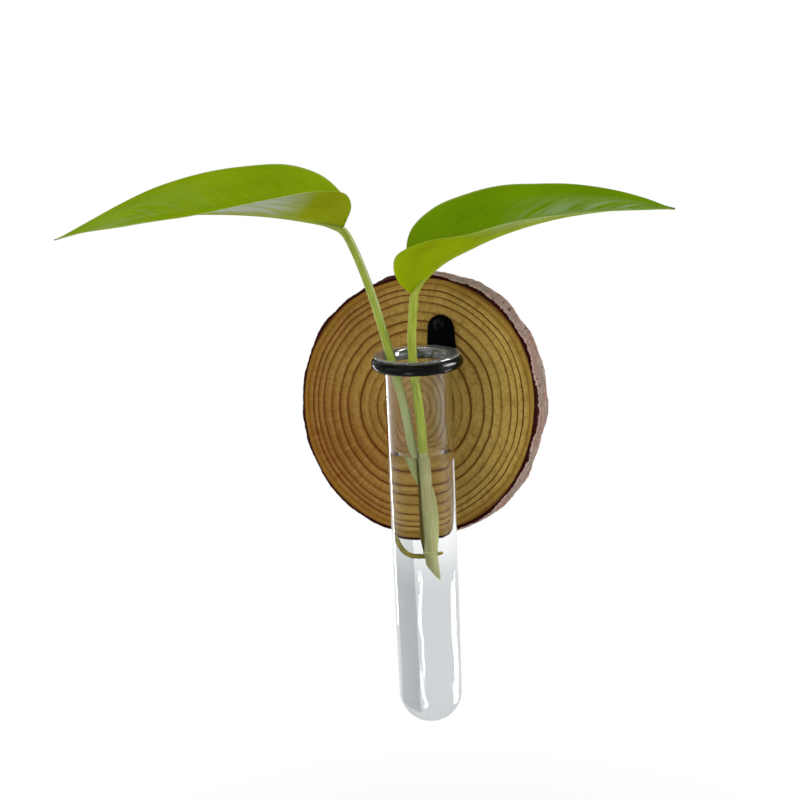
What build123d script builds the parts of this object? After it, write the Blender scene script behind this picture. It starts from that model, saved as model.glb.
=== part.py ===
from build123d import *
import os
from math import cos, pi, radians, sin, tan

# Wall-hung propagation vase: a bark-edged wood slice carries a metal ring on a strap,
# a glass test tube hangs in the ring by its lip, and a two-leaf cutting stands in the tube.
# X runs right, Y into the wall and Z up. The origin is the middle of the slice's back face.

# Wood slice
slice_width = 108.0
slice_height = 108.0
slice_thickness = 8.8
outline_point_count = 36
outline_lobes = ((1, -114.0), (2, -93.0), (3, -150.0), (4, 173.0))
outline_lobe_shares = (0.022, 0.0585, 0.0064, 0.0086)

# Bark
bark_thickness = 2.0
bark_lean = 0.8
bark_point_count = 60
bark_layers = 4
bark_ripples = ((7, 20.0, 55.0), (13, 75.0, 110.0), (23, 10.0, 160.0))
bark_ripple_shares = (0.14, 0.12, 0.10)

# Hanging hole in the back
hanging_hole_radius = 4.0
hanging_hole_depth = 6.5
hanging_hole_right = 6.0
hanging_hole_drop = 20.0

# Test tube
tube_diameter = 25.0
tube_length = 150.0
tube_wall = 1.2
lip_reach = 3.6

# Holder ring
ring_bar = 4.1
ring_tube_gap = 0.5
ring_wall_gap = 3.4
ring_right = 13.7
lip_seat_gap = 0.3

# Bracket strap
strap_width = 10.6
strap_foot_width = 12.4
strap_thickness = 2.0
strap_drop = 14.7
strap_rise = 14.0
strap_bend = 1.0
strap_bevel = 0.4

# Strap screw
screw_drop = 3.4
screw_head_radius = 2.4
screw_head_height = 1.3
screw_shank_radius = 1.4
screw_length = 7.5
screw_point = 2.5
screw_slot_width = 0.7
screw_slot_depth = 0.6
screw_hole_gap = 0.2

# Cutting: the stem and what grows on it below the tube's mouth
cutting_lean = 30.0
stem_top_depth = 35.0
stem_run = 39.0
stem_tail = 12.5
stem_radius = 1.75
stem_node_swell = 0.3
stem_node_height = 2.0
stem_cut_angle = 60.0
root_radius = 0.95
petiole_radius = 1.65
lip_petiole_gap = 0.4

# Leaf blades
blade_thickness = 0.45
midrib_depth = 1.0
leaf_stem_run = 2.0
left_leaf_reach = 114.4
left_leaf_half_width = 30.0
left_leaf_heading = -160.1
left_leaf_side = 27.9
left_leaf_forward = 1.5
left_leaf_height = 49.05
right_leaf_reach = 92.6
right_leaf_half_width = 28.0
right_leaf_heading = 7.4
right_leaf_side = 0.6
right_leaf_forward = 0.5
right_leaf_height = 27.2

# Cuts run this far past the faces they open
overrun = 1.0

# Sizes that follow from the ones above
tube_radius = tube_diameter / 2
bore_radius = tube_radius - tube_wall
lip_radius = tube_radius + lip_reach
bar_radius = ring_bar / 2
ring_radius = tube_radius + ring_tube_gap + bar_radius
wood_front = -slice_thickness
hanging_hole_height = slice_height / 2 - hanging_hole_drop
strap_top = slice_height / 2 - strap_drop
ring_height = strap_top - strap_rise
tube_y = wood_front - ring_wall_gap - ring_radius - bar_radius
tube_axis = Vector(ring_right, tube_y, ring_height)
flare_radius = ring_radius - tube_radius
flare_height = bar_radius + lip_seat_gap - flare_radius
lip_top = flare_height + flare_radius + tube_wall
screw_height = strap_top - screw_drop
stem_node_depth = stem_top_depth + stem_run
stem_end_depth = stem_node_depth + stem_tail

# Routes inside the tube: side and back as shares of the bore radius, depth as a share of the stem's end
stem_route_shares = ((0.07, 0.0), (0.14, 0.0), (0.21, 0.0))
left_route_shares = ((0.15, 0.10, 0.845), (0.29, 0.24, 0.649), (-0.29, 0.26, 0.403), (-0.44, 0.12, 0.226))
right_route_shares = ((0.02, 0.0, 0.226), (-0.15, -0.02, -0.059))
root_route_shares = ((0.42, 0.14, 0.870), (0.16, 0.19, 0.880), (-0.14, 0.10, 0.880), (-0.42, 0.0, 0.870),
                     (-0.66, -0.04, 0.830), (-0.80, -0.05, 0.776))
left_stalk_shares = ((0.32, 0.41), (0.61, 0.675), (0.90, 0.885))

# Leaf stations from base to tip: on the midrib, then each half's margin along it and out from it
station_shares = (0.0, 0.03, 0.08, 0.16, 0.27, 0.40, 0.53, 0.66, 0.78, 0.89, 0.96, 1.0)
blade_bulge_share = 0.06
left_rise_shares = ((0.0, 0.0), (0.05, 0.0135), (0.2, 0.0425), (0.4, 0.0605), (0.6, 0.0586), (0.8, 0.0331),
                    (1.0, -0.011))
left_near_along_shares = (0.0, -0.024, -0.004, 0.072, 0.204, 0.361, 0.513, 0.655, 0.787, 0.899, 0.965, 1.0)
left_near_width_shares = (0.075, 0.46, 0.66, 0.86, 0.97, 0.93, 0.80, 0.60, 0.38, 0.17, 0.085, 0.035)
left_near_fold = (30, 48, 48, 32, 16, 6, 0, -4, -5, -5, -3, 0)
left_far_along_shares = (0.0, 0.006, 0.062, 0.138, 0.255, 0.387, 0.523, 0.655, 0.787, 0.899, 0.965, 1.0)
left_far_width_shares = (0.075, 0.34, 0.58, 0.82, 1.0, 0.96, 0.82, 0.61, 0.38, 0.18, 0.085, 0.035)
left_far_fold = (40, 45, 43, 39, 35, 33, 34, 35, 34, 30, 18, 0)
right_rise_shares = ((0.0, 0.0), (0.085, 0.061), (0.26, 0.158), (0.5, 0.247), (0.75, 0.293), (1.0, 0.300))
right_near_along_shares = (0.0, 0.03, 0.07, 0.12, 0.235, 0.37, 0.51, 0.65, 0.78, 0.90, 0.965, 1.0)
right_near_width_shares = (0.075, 0.50, 0.64, 0.80, 0.88, 0.86, 0.76, 0.58, 0.37, 0.17, 0.07, 0.03)
right_near_fold = (40, 36, 36, 31, 18, 9, 7, 5, 2, -2, -3, 0)
right_far_along_shares = (0.0, 0.04, 0.085, 0.155, 0.265, 0.40, 0.53, 0.66, 0.79, 0.90, 0.965, 1.0)
right_far_width_shares = (0.075, 0.45, 0.75, 0.92, 1.0, 0.96, 0.82, 0.62, 0.40, 0.20, 0.09, 0.03)
right_far_fold = (60, 70, 64, 55, 45, 38, 33, 31, 31, 29, 15, 0)


def slice_outline(angle):
    """How far the slice's lobed outline stands from a true oval at this angle."""
    lobes = zip(outline_lobes, outline_lobe_shares)
    return 1 + sum(share * cos(count * angle + radians(phase)) for (count, phase), share in lobes)


def outline_face(y, count, outset):
    """Face across the slice at depth y, its edge moved out from the wood by outset(angle)."""
    points = []
    for step in range(count):
        angle = 2 * pi * step / count
        wood_x = (slice_width / 2 - bark_thickness) * slice_outline(angle)
        wood_z = (slice_height / 2 - bark_thickness) * slice_outline(angle)
        reach = outset(angle)
        points.append(Vector((wood_x + reach) * cos(angle), y, (wood_z + reach) * sin(angle)))
    return make_face(Spline(*points, periodic=True))


def wood_blank(start, end):
    """The wood's plain prism between two depths."""
    face = outline_face(start, outline_point_count, lambda angle: 0)
    return extrude(face, amount=start - end, dir=(0, -1, 0))


def wood_slice():
    """The disc of wood, with its blind hanging hole and the strap screw's hole."""
    hole = Pos(hanging_hole_right, 0, hanging_hole_height) * Rot(90, 0, 0) * Cylinder(
        hanging_hole_radius, hanging_hole_depth, align=(Align.CENTER, Align.CENTER, Align.MIN))
    return wood_blank(0, wood_front) - hole - strap_screw()


def bark_rim():
    """The bark: a rippled skin lofted through layers from back to front, hanging lower toward the back."""
    def layer(index):
        depth_share = index / (bark_layers - 1)

        def outset(angle):
            ripples = zip(bark_ripples, bark_ripple_shares)
            swell = sum(share * sin(count * angle + radians(phase + index * turn))
                        for (count, phase, turn), share in ripples)
            return bark_thickness * (1 + swell) - bark_lean * (1 - depth_share) * sin(angle)
        return outline_face(wood_front * depth_share, bark_point_count, outset)
    skin = loft([layer(index) for index in range(bark_layers)])
    return skin - wood_blank(overrun, wood_front - overrun)


def holder_ring():
    """Round bar bent into a closed ring."""
    return Pos(tube_axis) * Torus(ring_radius, bar_radius)


def strap_front_outline():
    """The strap seen from the front: round top, sides that widen to the foot."""
    half = strap_width / 2
    shoulder = strap_top - half
    foot = ring_height - strap_thickness
    half_foot = strap_foot_width / 2
    outline = Polyline((half, shoulder), (half_foot, foot), (-half_foot, foot), (-half, shoulder))
    top = ThreePointArc((-half, shoulder), (0, strap_top), (half, shoulder))
    return make_face([outline, top])


def strap_side_profile():
    """The strap seen from the side: a flat plate whose foot bends forward to the ring."""
    back = wood_front
    front = back - strap_thickness
    bend_y = front - strap_bend
    bend_z = ring_height + strap_thickness / 2 + strap_bend
    low = ring_height - strap_thickness / 2
    outer = strap_bend + strap_thickness
    edges = [
        Line((back, bend_z), (back, strap_top)),
        Line((back, strap_top), (front, strap_top)),
        Line((front, strap_top), (front, bend_z)),
        ThreePointArc((front, bend_z),
                      (bend_y + strap_bend * cos(radians(45)), bend_z - strap_bend * sin(radians(45))),
                      (bend_y, bend_z - strap_bend)),
        Line((bend_y, bend_z - strap_bend), (tube_y, bend_z - strap_bend)),
        Line((tube_y, bend_z - strap_bend), (tube_y, low)),
        Line((tube_y, low), (bend_y, low)),
        ThreePointArc((bend_y, low),
                      (bend_y + outer * cos(radians(45)), bend_z - outer * sin(radians(45))),
                      (back, bend_z)),
    ]
    return make_face(edges)


def bracket_strap():
    """The strap, bevelled round its top, drilled for the screw and coped to fit the ring."""
    side = Plane(origin=(ring_right, 0, 0), x_dir=(0, 1, 0), z_dir=(1, 0, 0)) * strap_side_profile()
    bar = extrude(side, amount=strap_foot_width / 2, both=True)
    front = Plane(origin=(ring_right, 0, 0), x_dir=(1, 0, 0), z_dir=(0, -1, 0)) * strap_front_outline()
    strap = bar & extrude(front, amount=-tube_y)
    plate_front = wood_front - strap_thickness
    bend_top = ring_height + strap_thickness / 2 + strap_bend
    front_edges = [edge for edge in strap.edges() if abs(edge.center().Y - plate_front) < strap_bevel / 2]
    above_bend = [edge for edge in front_edges if edge.center().Z > bend_top + strap_bevel]
    strap = chamfer(above_bend, strap_bevel)
    hole = Pos(ring_right, wood_front, screw_height) * Rot(90, 0, 0) * Cylinder(
        screw_shank_radius + screw_hole_gap, strap_thickness + overrun,
        align=(Align.CENTER, Align.CENTER, Align.MIN))
    inside = Pos(tube_axis) * Cylinder(ring_radius, ring_bar + overrun)
    return strap - hole - inside - holder_ring()


def strap_screw():
    """Small pan-head wood screw with a crossed slot, seated on the strap."""
    seat = strap_thickness
    crown = seat + screw_head_height
    rim = seat + screw_head_height / 3
    edges = [
        Line((0, seat - screw_length), (screw_shank_radius, seat - screw_length + screw_point)),
        Line((screw_shank_radius, seat - screw_length + screw_point), (screw_shank_radius, seat)),
        Line((screw_shank_radius, seat), (screw_head_radius, seat)),
        Line((screw_head_radius, seat), (screw_head_radius, rim)),
        TangentArc((0, crown), (screw_head_radius, rim), tangent=(1, 0)),
        Line((0, crown), (0, seat - screw_length)),
    ]
    body = revolve(Plane.XZ * make_face(edges), Axis.Z)
    slot = Box(screw_head_radius, screw_slot_width, screw_slot_depth,
               align=(Align.CENTER, Align.CENTER, Align.MAX))
    screw = body - Pos(0, 0, crown) * slot - Pos(0, 0, crown) * Rot(0, 0, 90) * slot
    return Pos(ring_right, wood_front, screw_height) * Rot(90, 0, 0) * screw


def test_tube():
    """Round-bottomed glass tube whose flare follows the ring and ends in a rounded lip."""
    bottom = lip_top - tube_length
    round_z = bottom + tube_radius
    inner_flare = flare_radius + tube_wall
    lip_round = tube_wall / 2
    lip_x = lip_radius - lip_round
    lip_low = flare_height + flare_radius
    slant = cos(radians(45))
    edges = [
        ThreePointArc((0, bottom),
                      (tube_radius * slant, round_z - tube_radius * slant),
                      (tube_radius, round_z)),
        Line((tube_radius, round_z), (tube_radius, flare_height)),
        ThreePointArc((tube_radius, flare_height),
                      (ring_radius - flare_radius * slant, flare_height + flare_radius * slant),
                      (ring_radius, lip_low)),
        Line((ring_radius, lip_low), (lip_x, lip_low)),
        ThreePointArc((lip_x, lip_low), (lip_radius, lip_low + lip_round), (lip_x, lip_top)),
        Line((lip_x, lip_top), (ring_radius, lip_top)),
        ThreePointArc((ring_radius, lip_top),
                      (ring_radius - inner_flare * slant, flare_height + inner_flare * slant),
                      (bore_radius, flare_height)),
        Line((bore_radius, flare_height), (bore_radius, round_z)),
        ThreePointArc((bore_radius, round_z),
                      (bore_radius * slant, round_z - bore_radius * slant),
                      (0, bottom + tube_wall)),
        Line((0, bottom + tube_wall), (0, bottom)),
    ]
    return Pos(tube_axis) * revolve(Plane.XZ * make_face(edges), Axis.Z)


def in_tube(side, back, drop):
    """Point in the tube: side and back from its axis along the cutting's lean, drop below the ring."""
    lean = radians(cutting_lean)
    x = side * cos(lean) - back * sin(lean)
    y = side * sin(lean) + back * cos(lean)
    return tube_axis + Vector(x, y, -drop)


def route_points(shares):
    """Points of a route given in shares of the bore radius and of the stem's depth."""
    return [in_tube(side * bore_radius, back * bore_radius, drop * stem_end_depth)
            for side, back, drop in shares]


def smooth_path(points):
    """Straight runs joined by arcs as large as the runs beside them allow."""
    run_share = 0.45
    radii = []
    for before, here, after in zip(points, points[1:], points[2:]):
        turn = radians((here - before).get_angle(after - here))
        radii.append(run_share * min((here - before).length, (after - here).length) / tan(turn / 2))
    return FilletPolyline(*points, radius=radii)


def stalk(points, radius):
    """Round stalk of one thickness along a smooth path."""
    path = smooth_path(points)
    return sweep(Plane(origin=path @ 0, z_dir=path % 0) * Circle(radius), path=path)


def stem_points():
    """The stem's axis: its top, its node and its cut end."""
    depths = (stem_top_depth, stem_node_depth, stem_end_depth)
    return [in_tube(side * bore_radius, back * bore_radius, depth)
            for (side, back), depth in zip(stem_route_shares, depths)]


def cutting_stem():
    """The piece of main stem: swollen at its node, cut on a slant below it."""
    top, node, end = stem_points()
    stem = stalk([top, node, end], stem_radius)
    swell = Plane(origin=node, z_dir=node - end) * Torus(stem_radius + stem_node_swell - stem_node_height / 2,
                                                         stem_node_height / 2)
    lean = radians(cutting_lean)
    cut_rise = stem_radius * tan(radians(stem_cut_angle)) + overrun
    knife = Plane(origin=end + (node - end).normalized() * cut_rise,
                  x_dir=(cos(lean), sin(lean), 0), z_dir=(0, 0, 1))
    blade = knife * Rot(0, stem_cut_angle, 0) * Box(
        stem_tail, stem_tail, stem_tail, align=(Align.CENTER, Align.CENTER, Align.MAX))
    return stem + swell - blade


def leaf_rib(base, heading, reach, rise_shares):
    """The midrib's curve: out along the heading, rising and falling by the given shares of its reach."""
    out = Vector(cos(radians(heading)), sin(radians(heading)), 0)
    points = [base + out * reach * along + Vector(0, 0, reach * rise) for along, rise in rise_shares]
    return Spline(*points)


def rib_frame(rib, share):
    """Point, outward side, upright and direction at a share of the midrib, run straight on behind it."""
    ahead = rib % max(share, 0)
    point = rib @ max(share, 0) + (rib % 0) * min(share, 0) * rib.length
    side = Vector(ahead.Y, -ahead.X, 0).normalized()
    toward_front = side if side.Y < 0 else -side
    upright = (ahead.cross(toward_front)).normalized()
    return point, toward_front, upright if upright.Z > 0 else -upright, ahead


def half_blade(rib, along, width, fold, facing):
    """Upper and lower points, middle and margin, of one half of the blade at one station."""
    point, side, upright, _ = rib_frame(rib, along)
    outward = side * facing
    reach = outward * cos(radians(fold)) + upright * sin(radians(fold))
    over = upright * cos(radians(fold)) - outward * sin(radians(fold))
    margin = point + reach * width
    return margin, over


def leaf_section(rib, station, near, far):
    """Closed wire across the blade: near margin, midrib, far margin and back underneath."""
    crest, _, upright, _ = rib_frame(rib, station)
    keel = crest - upright * midrib_depth * (1 - station) - upright * blade_thickness * station
    halves = []
    for along, width, fold, facing in (near, far):
        margin, over = half_blade(rib, along, width, fold, facing)
        bulge = over * width * blade_bulge_share
        under = margin - over * blade_thickness
        halves.append((margin, (margin + crest) / 2 + bulge, under, (under + keel) / 2 + bulge))
    (near_top, near_over, near_low, near_under), (far_top, far_over, far_low, far_under) = halves
    edges = [
        ThreePointArc(near_top, near_over, crest),
        ThreePointArc(crest, far_over, far_top),
        Line(far_top, far_low),
        ThreePointArc(far_low, far_under, keel),
        ThreePointArc(keel, near_under, near_low),
        Line(near_low, near_top),
    ]
    return Wire(edges)


def leaf_blade(rib, half_width, near_table, far_table):
    """Folded blade lofted through its stations from the heart-shaped base to the tip."""
    sections = []
    for index, station in enumerate(station_shares):
        halves = []
        for (along, width, fold), facing in ((near_table, 1), (far_table, -1)):
            halves.append((along[index], width[index] * half_width, fold[index], facing))
        sections.append(leaf_section(rib, station, *halves))
    return Solid.make_loft(sections)


def stalk_end(rib):
    """The last run of a leaf's stalk: straight along the midrib into the blade's base."""
    base, _, upright, ahead = rib_frame(rib, 0)
    end = base - upright * midrib_depth / 2
    return [end - ahead * leaf_stem_run, end]


left_base = tube_axis + Vector(-left_leaf_side, -left_leaf_forward, left_leaf_height)
left_rib = leaf_rib(left_base, left_leaf_heading, left_leaf_reach, left_rise_shares)
right_base = tube_axis + Vector(-right_leaf_side, -right_leaf_forward, right_leaf_height)
right_rib = leaf_rib(right_base, right_leaf_heading, right_leaf_reach, right_rise_shares)


def left_leaf():
    """The left blade."""
    near = (left_near_along_shares, left_near_width_shares, left_near_fold)
    far = (left_far_along_shares, left_far_width_shares, left_far_fold)
    return leaf_blade(left_rib, left_leaf_half_width, near, far)


def right_leaf():
    """The right blade."""
    near = (right_near_along_shares, right_near_width_shares, right_near_fold)
    far = (right_far_along_shares, right_far_width_shares, right_far_fold)
    return leaf_blade(right_rib, right_leaf_half_width, near, far)


def left_petiole():
    """The left leaf's stalk: from the stem's node, behind the stem, up past the lip to the blade."""
    mouth_side = ring_radius - flare_radius - tube_wall - petiole_radius - lip_petiole_gap
    mouth = in_tube(-mouth_side, 0, 0)
    last_run = stalk_end(left_rib)
    above = []
    for side_share, rise_share in left_stalk_shares:
        across = mouth + (last_run[0] - mouth) * side_share
        above.append(Vector(across.X, across.Y, mouth.Z + (last_run[0].Z - mouth.Z) * rise_share))
    whole = stalk(route_points(left_route_shares) + [mouth] + above + last_run, petiole_radius)
    return whole - cutting_stem()


def right_petiole():
    """The right leaf's stalk: straight on from the stem's top, out of the mouth to the blade."""
    top, node, _ = stem_points()
    start = [top, top + (top - node).normalized() * leaf_stem_run]
    return stalk(start + route_points(right_route_shares) + stalk_end(right_rib), petiole_radius)


def aerial_root():
    """Thin root that wraps behind the node and reaches for the glass."""
    return stalk(route_points(root_route_shares), root_radius) - cutting_stem()


os.makedirs("parts", exist_ok=True)
for make in (wood_slice, bark_rim, holder_ring, bracket_strap, strap_screw, test_tube, cutting_stem,
             left_petiole, right_petiole, left_leaf, right_leaf, aerial_root):
    export_step(make(), "parts/" + make.__name__ + ".step")
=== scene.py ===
import math

import bmesh
import bpy
import numpy as np
from mathutils import Matrix, Vector, noise


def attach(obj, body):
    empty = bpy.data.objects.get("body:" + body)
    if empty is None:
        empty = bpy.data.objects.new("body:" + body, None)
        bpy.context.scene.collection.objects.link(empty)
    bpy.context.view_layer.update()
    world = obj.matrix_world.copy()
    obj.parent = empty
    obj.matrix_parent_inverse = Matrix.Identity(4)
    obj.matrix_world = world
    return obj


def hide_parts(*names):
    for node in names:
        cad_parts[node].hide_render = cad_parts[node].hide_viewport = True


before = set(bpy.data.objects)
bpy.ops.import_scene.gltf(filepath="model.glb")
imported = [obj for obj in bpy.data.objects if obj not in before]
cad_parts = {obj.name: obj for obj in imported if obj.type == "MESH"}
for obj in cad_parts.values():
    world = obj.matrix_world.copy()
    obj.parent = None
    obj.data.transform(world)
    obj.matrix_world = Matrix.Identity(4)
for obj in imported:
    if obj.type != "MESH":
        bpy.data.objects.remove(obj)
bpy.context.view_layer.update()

MM = 0.001
TO_MM = 1000.0
GLASS_IOR = 1.48
WATER_IOR = 1.333

# Sizes of the CAD model, in millimetres
TUBE_AXIS = np.array((13.7, -29.3, 25.3))
TUBE_RADIUS = 12.5
BORE = 11.3
TUBE_BOTTOM = -121.15
ROUND_Z = TUBE_BOTTOM + TUBE_RADIUS
RING_RADIUS = 15.05
FLARE_Z = 25.1
FLARE = 2.55
WALL = 1.2
LIP = 0.75
LIP_REACH = 3.6
STEM_DEPTH = 86.5
STEM_TOP_DEPTH = 35
NODE_DEPTH = 74
PETIOLE = 1.65
SLICE = 8.8
BARK = 2.0
BARK_LEAN = 0.8
WOOD_RADIUS = 52.0
WATER_Z = -8.6
MENISCUS = 0.4

# The slice's outline: waves round it, their phase in degrees and their share of the radius
OUTLINE_LOBES = ((1, -114, 0.022), (2, -93, 0.0585), (3, -150, 0.0064), (4, 173, 0.0086))

# Side veins of a leaf: how many, how far they lean to the tip, how they bend, and the bulge between
VEINS = 13.0
VEIN_LAG = 0.40
VEIN_BEND = 1.2
BLADE_BULGE = 0.06

SOCKETS = {"rough": "Roughness", "specular": "Specular IOR Level", "ior": "IOR",
           "clear": "Transmission Weight"}


class Nodes:
    """Shorthand for one material's node tree."""

    def __init__(self, name, **values):
        self.material = bpy.data.materials.new(name)
        self.material.use_nodes = True
        self.tree = self.material.node_tree
        self.shader = self.tree.nodes["Principled BSDF"]
        for key, value in values.items():
            self.put(value, self.shader.inputs[SOCKETS[key]])

    def put(self, value, socket):
        if isinstance(value, bpy.types.NodeSocket):
            self.tree.links.new(value, socket)
        elif socket.type == "RGBA" and len(value) == 3:
            socket.default_value = (*value, 1.0)
        else:
            socket.default_value = value

    def node(self, kind, inputs=None, **settings):
        made = self.tree.nodes.new("ShaderNode" + kind)
        for key, value in settings.items():
            setattr(made, key, value)
        for key, value in (inputs or {}).items():
            self.put(value, made.inputs[key])
        return made

    def coords(self, output):
        return self.node("TexCoord").outputs[output]

    def split(self, vector):
        return self.node("SeparateXYZ", {0: vector}).outputs

    def join(self, x, y, z):
        return self.node("CombineXYZ", {0: x, 1: y, 2: z}).outputs[0]

    def math(self, operation, *values):
        return self.node("Math", dict(enumerate(values)), operation=operation).outputs[0]

    def scaled(self, vector, x, y, z):
        return self.node("VectorMath", {0: vector, 1: (x, y, z)}, operation="MULTIPLY").outputs[0]

    def noise(self, vector, scale, detail=2.0, roughness=0.5):
        inputs = {"Vector": vector, "Scale": scale, "Detail": detail, "Roughness": roughness}
        return self.node("TexNoise", inputs).outputs[0]

    def ramp(self, factor, stops, interpolation="LINEAR"):
        made = self.node("ValToRGB", {0: factor})
        band = made.color_ramp
        band.interpolation = interpolation
        while len(band.elements) < len(stops):
            band.elements.new(1.0)
        for element, (position, colour) in zip(band.elements, stops):
            element.position = position
            tone = (colour, colour, colour) if isinstance(colour, (int, float)) else colour
            element.color = (*tone, 1.0)
        return made.outputs[0]

    def mix(self, factor, a, b):
        return self.node("Mix", {0: factor, 6: a, 7: b}, data_type="RGBA").outputs[2]

    def bump(self, height, distance, strength):
        inputs = {"Height": height, "Distance": distance, "Strength": strength}
        self.put(self.node("Bump", inputs).outputs[0], self.shader.inputs["Normal"])

    def colour(self, value):
        self.put(value, self.shader.inputs["Base Color"])

    def rough(self, value):
        self.put(value, self.shader.inputs["Roughness"])


# Materials
def wood_material():
    """End grain: growth rings about an off-centre pith, darker late wood, fine rays and pores."""
    n = Nodes("wood_end_grain", specular=0.01)
    place = n.coords("Object")
    x, y, z = n.split(place)
    pith_x, pith_z, lobes = 1.0, 2.0, 2 * OUTLINE_LOBES[1][2]
    middle_x, middle_z = -0.5, 1.0
    sway = 2.4
    sway_x = n.math("MULTIPLY", n.math("SUBTRACT", n.noise(place, 38.0, 3.0), 0.5), sway)
    turned = n.scaled(place, 1, 1, -1)
    sway_z = n.math("MULTIPLY", n.math("SUBTRACT", n.noise(turned, 41.0, 3.0), 0.5), sway)
    from_x = n.math("ADD", n.math("MULTIPLY_ADD", x, TO_MM, -pith_x), sway_x)
    from_z = n.math("ADD", n.math("MULTIPLY_ADD", z, TO_MM, -pith_z), sway_z)
    lean = n.math("ADD", n.math("MULTIPLY", from_x, pith_x - middle_x),
                  n.math("MULTIPLY", from_z, pith_z - middle_z))
    far = n.math("ADD", n.math("MULTIPLY", from_x, from_x), n.math("MULTIPLY", from_z, from_z))
    lobe = n.math("DIVIDE", n.math("MULTIPLY", from_x, from_z), n.math("MAXIMUM", far, 1.0))
    spread = n.math("POWER", n.math("MULTIPLY_ADD", lobe, lobes * WOOD_RADIUS, WOOD_RADIUS), 2.0)
    root = n.math("SQRT", n.math("MULTIPLY_ADD", far, spread, n.math("MULTIPLY", lean, lean)))
    share = n.math("DIVIDE", n.math("ADD", lean, root), spread)
    # Each ring: its share of the radius and how dark it is
    rings = ((0.0, 0.3), (0.047, 0.4), (0.094, 0.4), (0.15, 0.5), (0.21, 0.5), (0.27, 0.6),
             (0.335, 0.75), (0.405, 0.4), (0.48, 0.9), (0.596, 0.75), (0.669, 0.9), (0.742, 0.55),
             (0.817, 0.75), (0.867, 0.8), (0.91, 1.0), (0.96, 0.4), (1.0, 0.5))
    last = len(rings) - 1
    steps = [(radius, i / last) for i, (radius, _) in enumerate(rings)]
    depths = [(i / last, depth) for i, (_, depth) in enumerate(rings)]
    counted = n.math("MULTIPLY", n.ramp(share, steps), float(last))
    phase = n.math("FRACT", counted)
    nearest = n.math("FLOOR", n.math("ADD", counted, 0.5))
    number = n.math("DIVIDE", n.math("ADD", nearest, 0.25), float(last))
    late = n.ramp(phase, [(0.0, 1.0), (0.05, 0.75), (0.12, 0.12), (0.24, 0.0),
                          (0.76, 0.04), (0.90, 0.40), (0.96, 1.0)])
    late = n.math("MULTIPLY", late, n.ramp(number, depths, "CONSTANT"))
    angle = n.math("ARCTAN2", from_z, from_x)
    patchy = n.noise(n.join(n.math("COSINE", angle), n.math("SINE", angle), share), 3.0, 2.0)
    late = n.math("MULTIPLY", late, n.math("MULTIPLY_ADD", patchy, 0.9, 0.78))
    late = n.math("MINIMUM", late, 1.0)
    rays = n.noise(n.join(n.math("MULTIPLY", angle, 46.0), n.math("MULTIPLY", share, 5.0), y), 1.0, 2.0)
    pores = n.noise(place, 1300.0, 2.0, 0.6)
    grain = n.noise(n.scaled(place, 1.0, 1.0, 0.6), 520.0, 3.0, 0.65)
    # Painted light: the early wood is lighter toward the right, where the light falls, and darker and redder
    # toward the left; the noise in it is the wood's own uneven tone.
    painted_shade_left = n.math("MULTIPLY_ADD", x, -9.0, n.noise(place, 16.0, 2.0))
    early = n.mix(n.ramp(painted_shade_left, [(0.15, 0.0), (0.95, 1.0)]), (0.480, 0.335, 0.076), (0.152, 0.037, 0.002))
    early = n.mix(n.ramp(rays, [(0.35, 0.0), (0.75, 0.30)]), early, (0.460, 0.310, 0.090))
    spring = n.ramp(phase, [(0.12, 0.0), (0.30, 0.20), (0.70, 0.0)])
    early = n.mix(spring, early, (0.540, 0.360, 0.120))
    early = n.mix(n.ramp(grain, [(0.34, 0.45), (0.52, 0.0)]), early, (0.155, 0.085, 0.016))
    early = n.mix(n.ramp(pores, [(0.30, 0.40), (0.55, 0.0)]), early, (0.120, 0.066, 0.014))
    sap = n.ramp(share, [(0.925, 0.0), (0.96, 0.65), (1.0, 0.5)])
    early = n.mix(sap, early, (0.230, 0.115, 0.014))
    red = n.ramp(share, [(0.60, 0.2), (0.86, 0.5), (0.90, 1.0), (0.94, 0.3), (1.0, 0.6)])
    dark = n.mix(red, (0.096, 0.028, 0.004), (0.090, 0.008, 0.002))
    n.colour(n.mix(late, early, dark))
    n.rough(n.math("MULTIPLY_ADD", pores, 0.2, 0.5))
    saw = n.noise(n.scaled(place, 60.0, 60.0, 900.0), 1.0, 2.0)
    fine = n.math("MULTIPLY_ADD", grain, 0.45, n.math("MULTIPLY", saw, 0.25))
    n.bump(n.math("ADD", n.math("MULTIPLY", late, 0.5), fine), 0.00012, 0.7)
    return n.material


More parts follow.
